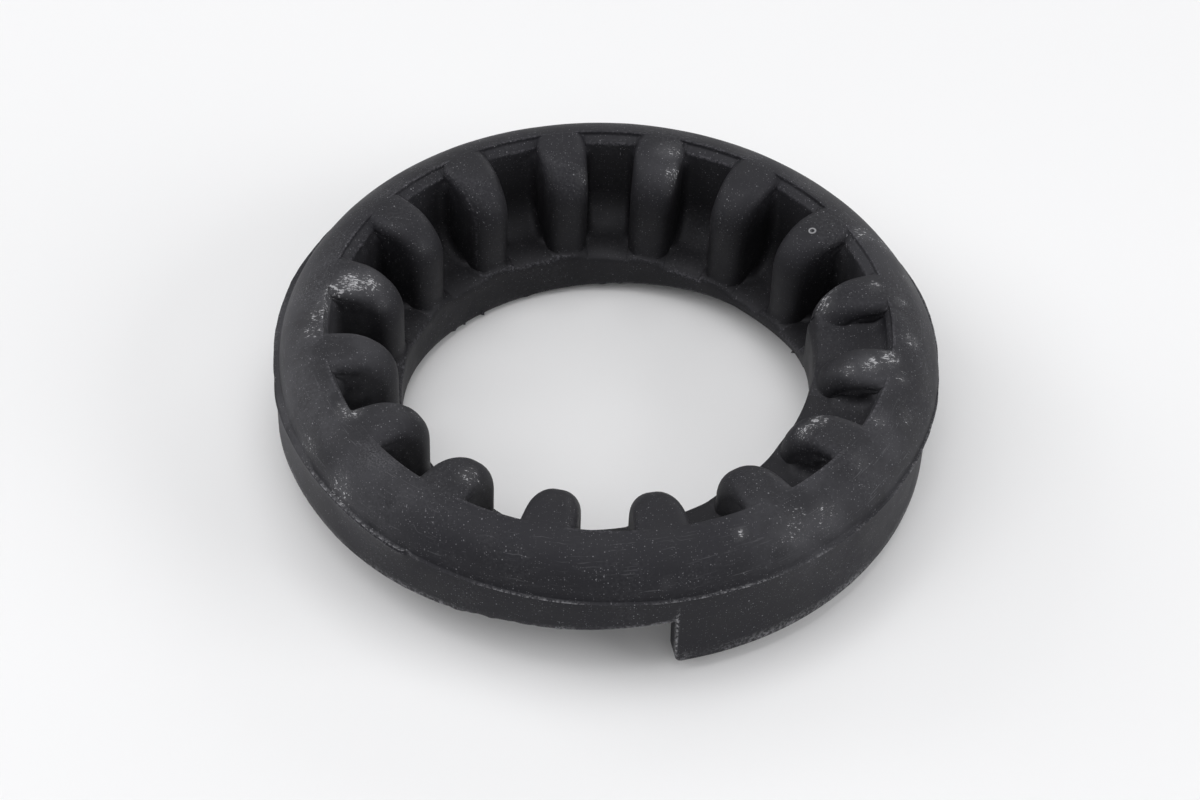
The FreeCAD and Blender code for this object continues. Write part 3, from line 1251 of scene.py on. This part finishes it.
class SurfaceEffects:
    """Node groups for dust, wipe marks, scuffs and grain.

    Specks holds cells a metre, a speck's size in its cell, and the share of cells that stay clean. Strokes
    holds the turn of a set of scratches and its shift.
    """

    specks: Triples = ((1300.0, 0.20, 0.73), (620.0, 0.13, 0.80), (2600.0, 0.30, 0.66))
    strokes: Table = ((0.12, 0.0), (0.75, 3.1), (-0.62, 7.7))

    @classmethod
    def dust(cls) -> bpy.types.NodeTree:
        """Scattered specks of dust and a thin film.

        Returns:
            A group with the outputs Specks and Film.
        """
        tree = EffectGroup("dust", ("Amount",), ("Specks", "Film"))
        masks = []
        for scale, size, clean in cls.specks:
            cells = tree.add("ShaderNodeTexVoronoi", feature="F1", in_Vector=tree.vector, in_Scale=scale)
            dot = tree.ramp(cells.outputs["Distance"], size * 0.45, size, 1.0, 0.0)
            pick = tree.add("ShaderNodeSeparateColor", in_Color=cells.outputs["Color"]).outputs[0]
            masks.append(tree.times(dot, tree.ramp(pick, clean, clean + 0.14)))
        specks = tree.most(tree.most(masks[0], masks[1]), tree.times(masks[2], 0.55))
        patches = tree.noise(tree.vector, 70.0, 5.0, 0.6)
        specks = tree.times(specks, tree.ramp(patches, 0.3, 0.6, 0.45, 1.0))
        fine = tree.noise(tree.vector, 1500.0, 3.0)
        film = tree.times(tree.ramp(patches, 0.42, 0.72), tree.ramp(fine, 0.4, 0.65))
        tree.give(tree.times(specks, tree.given["Amount"], clamp=True), tree.result["Specks"])
        tree.give(tree.times(film, tree.given["Amount"], clamp=True), tree.result["Film"])
        return tree.tree

    @classmethod
    def wiping(cls) -> bpy.types.NodeTree:
        """Cloudy smears and fine short scratches, left by handling.

        Returns:
            A group with the outputs Smears and Scratches.
        """
        tree = EffectGroup("wiping", (), ("Smears", "Scratches"))
        broad = tree.noise(tree.vector, 38.0, 4.0, 0.55, 0.6)
        fine = tree.noise(tree.vector, 2400.0, 4.0, 0.7)
        total = 0.0
        for turn, shift in cls.strokes:
            turned = tree.mapped(tree.vector, (0.0, 0.0, turn), (170.0, 2600.0, 1.0), (shift, shift, 0.0))
            lines = tree.ramp(tree.noise(turned, 1.0, 2.0, 0.6), 0.60, 0.70)
            marks = tree.times(lines, tree.ramp(tree.noise(turned, 0.12, 2.0), 0.52, 0.62))
            total = tree.most(total, marks)
        smears = tree.times(tree.ramp(broad, 0.50, 0.72), tree.ramp(fine, 0.40, 0.68))
        tree.give(smears, tree.result["Smears"])
        tree.give(total, tree.result["Scratches"])
        return tree.tree

    @staticmethod
    def rubbing() -> bpy.types.NodeTree:
        """Broken flecks of a rubbed place.

        Returns:
            A group with the output Mask.
        """
        tree = EffectGroup("rubbing", ("Amount",), ("Mask",))
        amount = tree.given["Amount"]
        coarse = tree.noise(tree.vector, 900.0, 5.0, 0.78)
        turned = tree.mapped(tree.vector, (0.3, 0.2, 0.7), (900.0, 4200.0, 2400.0))
        level = tree.math("ADD", tree.times(coarse, 0.7), tree.times(tree.noise(turned, 1.0, 3.0), 0.5))
        level = tree.math("ADD", level, tree.times(amount, 0.17))
        flecks = tree.times(tree.ramp(level, 0.755, 0.83), tree.ramp(amount, 0.02, 0.3))
        haze = tree.times(tree.times(amount, coarse), 0.16)
        tree.give(tree.most(flecks, haze), tree.result["Mask"])
        return tree.tree

    @staticmethod
    def grain() -> bpy.types.NodeTree:
        """Height of the moulded surface's texture.

        Returns:
            A group with the output Height.
        """
        tree = EffectGroup("grain", (), ("Height",))
        fine = tree.noise(tree.vector, 2300.0, 4.0, 0.6)
        broad = tree.noise(tree.vector, 260.0, 4.0)
        pits = tree.add("ShaderNodeTexVoronoi", feature="F1", in_Vector=tree.vector, in_Scale=420.0).outputs
        pick = tree.add("ShaderNodeSeparateColor", in_Color=pits["Color"]).outputs[1]
        pit = tree.times(tree.ramp(pits["Distance"], 0.04, 0.16, 1.0, 0.0), tree.ramp(pick, 0.86, 0.95))
        height = tree.math("ADD", tree.times(fine, 0.55), tree.times(broad, 1.2))
        tree.give(tree.math("SUBTRACT", height, tree.times(pit, 0.8)), tree.result["Height"])
        return tree.tree


@dataclass(frozen=True)
class RubberFinish:
    """Matt charcoal rubber with dust, wipe marks and rubbed edges, and with painted shade in the pockets,
    painted sheen on the shoulder and a painted highlight on the lip.
    """

    dark: Colour = (0.0035, 0.0034, 0.0046, 1.0)
    light: Colour = (0.0074, 0.0072, 0.0094, 1.0)
    # Darker rubber deep in the pockets: painted shade.
    clean: Colour = (0.0022, 0.0021, 0.0026, 1.0)
    dust: Colour = (0.27, 0.27, 0.29, 1.0)
    # Pale grey for rubbed places, also used for the painted highlight on the lip.
    rubbed_and_painted_light: Colour = (0.50, 0.50, 0.52, 1.0)
    worn: Colour = (0.09, 0.088, 0.10, 1.0)
    # Strength of the painted shade in the pockets, and the share of dust they lose, which darkens them
    # further.
    painted_shade_share: float = 0.85
    painted_shade_dust_loss: float = 0.45
    corner_share: float = 0.5
    smear_share: tuple[float, float] = (0.03, 0.17)
    scratch_share: tuple[float, float] = (0.02, 0.11)
    # Strength of the painted sheen.
    sheen_haze_share: float = 0.11
    film_share: float = 0.05
    bubble_share: float = 0.5
    # Strength of the painted highlight on the lip.
    lip_highlight_share: float = 0.42
    low_edge_share: float = 0.6
    speck_share: float = 0.75
    scuff_share: float = 0.8
    bubble: Place = (0.0439, 0.0289, 0.0341)
    roughness: tuple[float, float] = (0.56, 0.68)
    pale_roughness: float = 0.25
    specular: float = 0.31
    sheen_tint: Colour = (0.93, 0.925, 1.0, 1.0)
    grain_strength: float = 0.8
    grain_height: float = 0.000035

    def build(self) -> bpy.types.Material:
        """Builds the material.

        Returns:
            The material.
        """
        material = bpy.data.materials.new("matt_charcoal_rubber")
        material.use_nodes = True
        tree = NodeTree(material.node_tree)
        place = tree.add("ShaderNodeTexCoord").outputs["Object"]
        run = tree.add("ShaderNodeUVMap", uv_map="run").outputs["UV"]
        painted_shade, shoulder = tree.attribute(Mask.PAINTED_SHADE), tree.attribute(Mask.SHOULDER)
        # Less dust deep in the pockets, part of their painted shade.
        dusty = tree.math("SUBTRACT", 1.0, tree.times(painted_shade, self.painted_shade_dust_loss))
        dust = tree.effect(SurfaceEffects.dust(), place, in_Amount=dusty)
        wiping = tree.effect(SurfaceEffects.wiping(), run)
        scuffs = tree.effect(SurfaceEffects.rubbing(), place, in_Amount=tree.attribute(Mask.SCUFF))["Mask"]
        grain = tree.effect(SurfaceEffects.grain(), place)["Height"]
        clouds = tree.noise(place, 95.0, 7.0, 0.62)
        broken = self.broken(tree, place)
        base = tree.mix(tree.ramp(clouds, 0.3, 0.7), self.dark, self.light)
        # Painted sheen: pale clouds on the patches where the shoulder catches the lights.
        painted_sheen = tree.times(tree.attribute(Mask.SHEEN_HAZE), tree.ramp(clouds, 0.38, 0.64, 0.15, 1.0))
        # Painted highlight on the lip's edge, and worn pale lower edges of the skirt.
        edges = tree.most(tree.times(tree.attribute(Mask.LIP), self.lip_highlight_share),
                          tree.times(tree.attribute(Mask.LOW_EDGE), self.low_edge_share))
        corners = tree.times(tree.ramp(tree.attribute(Mask.CORNER), 0.35, 1.0), broken)
        smeared, scratched = (self.handled(tree, shoulder, s) for s in (self.smear_share, self.scratch_share))
        for mask, colour in (
                # Pockets darkened with painted shade.
                (tree.times(painted_shade, self.painted_shade_share), self.clean),
                (tree.times(corners, self.corner_share), self.worn),
                (tree.times(wiping["Smears"], smeared), self.dust),
                (tree.times(wiping["Scratches"], scratched), self.dust),
                # Painted sheen.
                (tree.times(painted_sheen, self.sheen_haze_share), self.dust),
                (tree.times(dust["Film"], self.film_share), self.dust),
                (tree.times(self.ring_mark(tree, place), self.bubble_share), self.rubbed_and_painted_light),
                # Painted highlight on the lip, and wear on the skirt's lower edge.
                (tree.times(edges, broken), self.rubbed_and_painted_light),
                (tree.times(dust["Specks"], self.speck_share), self.dust),
                (tree.times(scuffs, self.scuff_share), self.rubbed_and_painted_light)):
            base = tree.mix(mask, base, colour)
        pale = tree.times(tree.most(scuffs, dust["Specks"]), self.pale_roughness)
        rough = tree.math("ADD", tree.ramp(clouds, 0.3, 0.7, *self.roughness), pale, clamp=True)
        relief = tree.add("ShaderNodeBump", in_Strength=self.grain_strength, in_Distance=self.grain_height,
                          in_Height=grain).outputs["Normal"]
        shader = tree.add("ShaderNodeBsdfPrincipled", in_Base_Color=base, in_Roughness=rough,
                          in_Normal=relief, in_Specular_IOR_Level=self.specular,
                          in_Specular_Tint=self.sheen_tint)
        tree.add("ShaderNodeOutputMaterial", in_Surface=shader.outputs["BSDF"])
        return material

    @staticmethod
    def broken(tree: NodeTree, place: Socket) -> Socket:
        """Uneven pattern that breaks up the worn edges and the painted highlight on the lip."""
        chips, patches = tree.noise(place, 1500.0, 4.0, 0.65), tree.noise(place, 60.0, 4.0)
        return tree.times(tree.ramp(chips, 0.42, 0.62), tree.ramp(patches, 0.36, 0.60))

    @staticmethod
    def handled(tree: NodeTree, shoulder: Socket, shares: tuple[float, float]) -> Socket:
        """Strength of the wipe marks, with a first share everywhere and a second on the shoulder."""
        return tree.math("ADD", shares[0], tree.times(shoulder, shares[1]))

    def ring_mark(self, tree: NodeTree, place: Socket) -> Socket:
        """Pale ring that a burst bubble left on a rib.

        Args:
            tree: The material's nodes.
            place: Where the surface lies.

        Returns:
            Mask of the ring.
        """
        gap = tree.add("ShaderNodeVectorMath", operation="DISTANCE", in_0=place, in_1=self.bubble)
        away = gap.outputs["Value"]
        return tree.times(tree.ramp(away, 0.00045, 0.0006), tree.ramp(away, 0.0008, 0.00095, 1.0, 0.0))


@dataclass(frozen=True)
class CameraFit:
    """The photograph's camera, fitted to the ring's circles and ribs.

    Its place, lens and sensor are in millimetres, and the ends of its view in metres.
    """

    place: Place = (-9.40, -434.90, 457.20)
    ahead: Place = (0.01337, 0.69642, -0.71751)
    up: Place = (-0.02880, 0.71755, 0.69592)
    lens: float = 86.84
    sensor: float = 36.0
    near: float = 0.01
    far: float = 20.0

    def build(self) -> bpy.types.Object:
        """Makes the scene's camera.

        Returns:
            The camera.
        """
        data = bpy.data.cameras.new("camera")
        data.lens, data.sensor_width, data.sensor_fit = self.lens, self.sensor, "HORIZONTAL"
        data.clip_start, data.clip_end = self.near, self.far
        camera = bpy.data.objects.new("camera", data)
        ahead = Vector(self.ahead).normalized()
        right = ahead.cross(Vector(self.up)).normalized()
        turn = Matrix((right, right.cross(ahead).normalized(), -ahead)).transposed().to_4x4()
        camera.matrix_world = Matrix.Translation(Vector(self.place) * MM) @ turn
        bpy.context.scene.collection.objects.link(camera)
        bpy.context.scene.camera = camera
        return camera


@dataclass(frozen=True)
class Softbox:
    """A rectangular studio light, turned towards the ring."""

    name: str
    place: Place
    size: tuple[float, float]
    power: float
    aim: Place = (0.0, 0.0, 0.02)

    def build(self) -> bpy.types.Object:
        """Makes the light.

        Returns:
            The light.
        """
        data = bpy.data.lights.new(self.name, "AREA")
        data.shape = "RECTANGLE"
        data.size, data.size_y = self.size
        data.energy = self.power
        light = bpy.data.objects.new(self.name, data)
        light.location = self.place
        light.rotation_mode = "QUATERNION"
        light.rotation_quaternion = (Vector(self.aim) - Vector(self.place)).to_track_quat("-Z", "Y")
        bpy.context.scene.collection.objects.link(light)
        return light


@dataclass(frozen=True)
class Studio:
    """White table, pale surroundings and soft lights."""

    floor_size: float = 2.7
    floor_colour: Colour = (0.89, 0.89, 0.90, 1.0)
    floor_roughness: float = 0.85
    sky_colour: Colour = (1.0, 1.0, 1.0, 1.0)
    sky_strength: float = 0.17
    backdrop_strength: float = 0.7
    lights: tuple[Softbox, ...] = (
        Softbox("top_light", (-0.06, 0.06, 1.49), (1.3, 0.9), 8.4),
        Softbox("left_light", (-0.95, -0.32, 1.12), (0.9, 0.9), 5.6),
        Softbox("right_light", (1.31, -0.40, 0.61), (0.9, 0.9), 9.4),
        Softbox("back_right_light", (0.69, 1.19, 0.61), (0.9, 0.9), 3.6),
        Softbox("back_left_light", (-1.27, 0.51, 0.61), (0.9, 0.9), 5.8),
        Softbox("front_light", (0.09, -1.00, 1.12), (1.2, 0.9), 3.4),
    )

    def table(self) -> bpy.types.Object:
        """Makes the floor.

        Returns:
            The floor.
        """
        mesh = bpy.data.meshes.new("table")
        work = bmesh.new()
        bmesh.ops.create_grid(work, x_segments=1, y_segments=1, size=0.5 * self.floor_size)
        work.to_mesh(mesh)
        work.free()
        floor = bpy.data.objects.new("table", mesh)
        bpy.context.scene.collection.objects.link(floor)
        material = bpy.data.materials.new("white_table")
        material.use_nodes = True
        tree = NodeTree(material.node_tree)
        shader = tree.add("ShaderNodeBsdfPrincipled", in_Base_Color=self.floor_colour,
                          in_Roughness=self.floor_roughness)
        tree.add("ShaderNodeOutputMaterial", in_Surface=shader.outputs["BSDF"])
        mesh.materials.append(material)
        return floor

    def surroundings(self) -> None:
        """Makes the world, which is brighter where it is seen or mirrored than where it lights."""
        world = bpy.data.worlds.new("surroundings")
        bpy.context.scene.world = world
        world.use_nodes = True
        tree = NodeTree(world.node_tree)
        rays = tree.add("ShaderNodeLightPath").outputs
        seen = tree.most(rays["Is Camera Ray"], tree.most(rays["Is Glossy Ray"], rays["Is Transmission Ray"]))
        strength = tree.ramp(seen, 0.0, 1.0, self.sky_strength, self.backdrop_strength)
        sky = tree.add("ShaderNodeBackground", in_Color=self.sky_colour, in_Strength=strength)
        tree.add("ShaderNodeOutputWorld", in_Surface=sky.outputs["Background"])

    def build(self) -> None:
        """Makes the floor, the surroundings and the lights."""
        self.table()
        self.surroundings()
        for light in self.lights:
            light.build()


def main() -> None:
    """Builds the ring, its finish, the studio and the camera, in that order."""
    logging.basicConfig(level=logging.INFO, format="%(name)s: %(message)s")
    rubber = RubberRing(RingForm(), Wear())
    ring = rubber.build()
    rubber.dress(ring)
    LOG.info("ring: %d faces", len(ring.data.polygons))
    Studio().build()
    CameraFit().build()
    bpy.context.scene.view_settings.view_transform = "Standard"
    LOG.info("camera, lights and table are set")


if __name__ == "__main__":
    main()
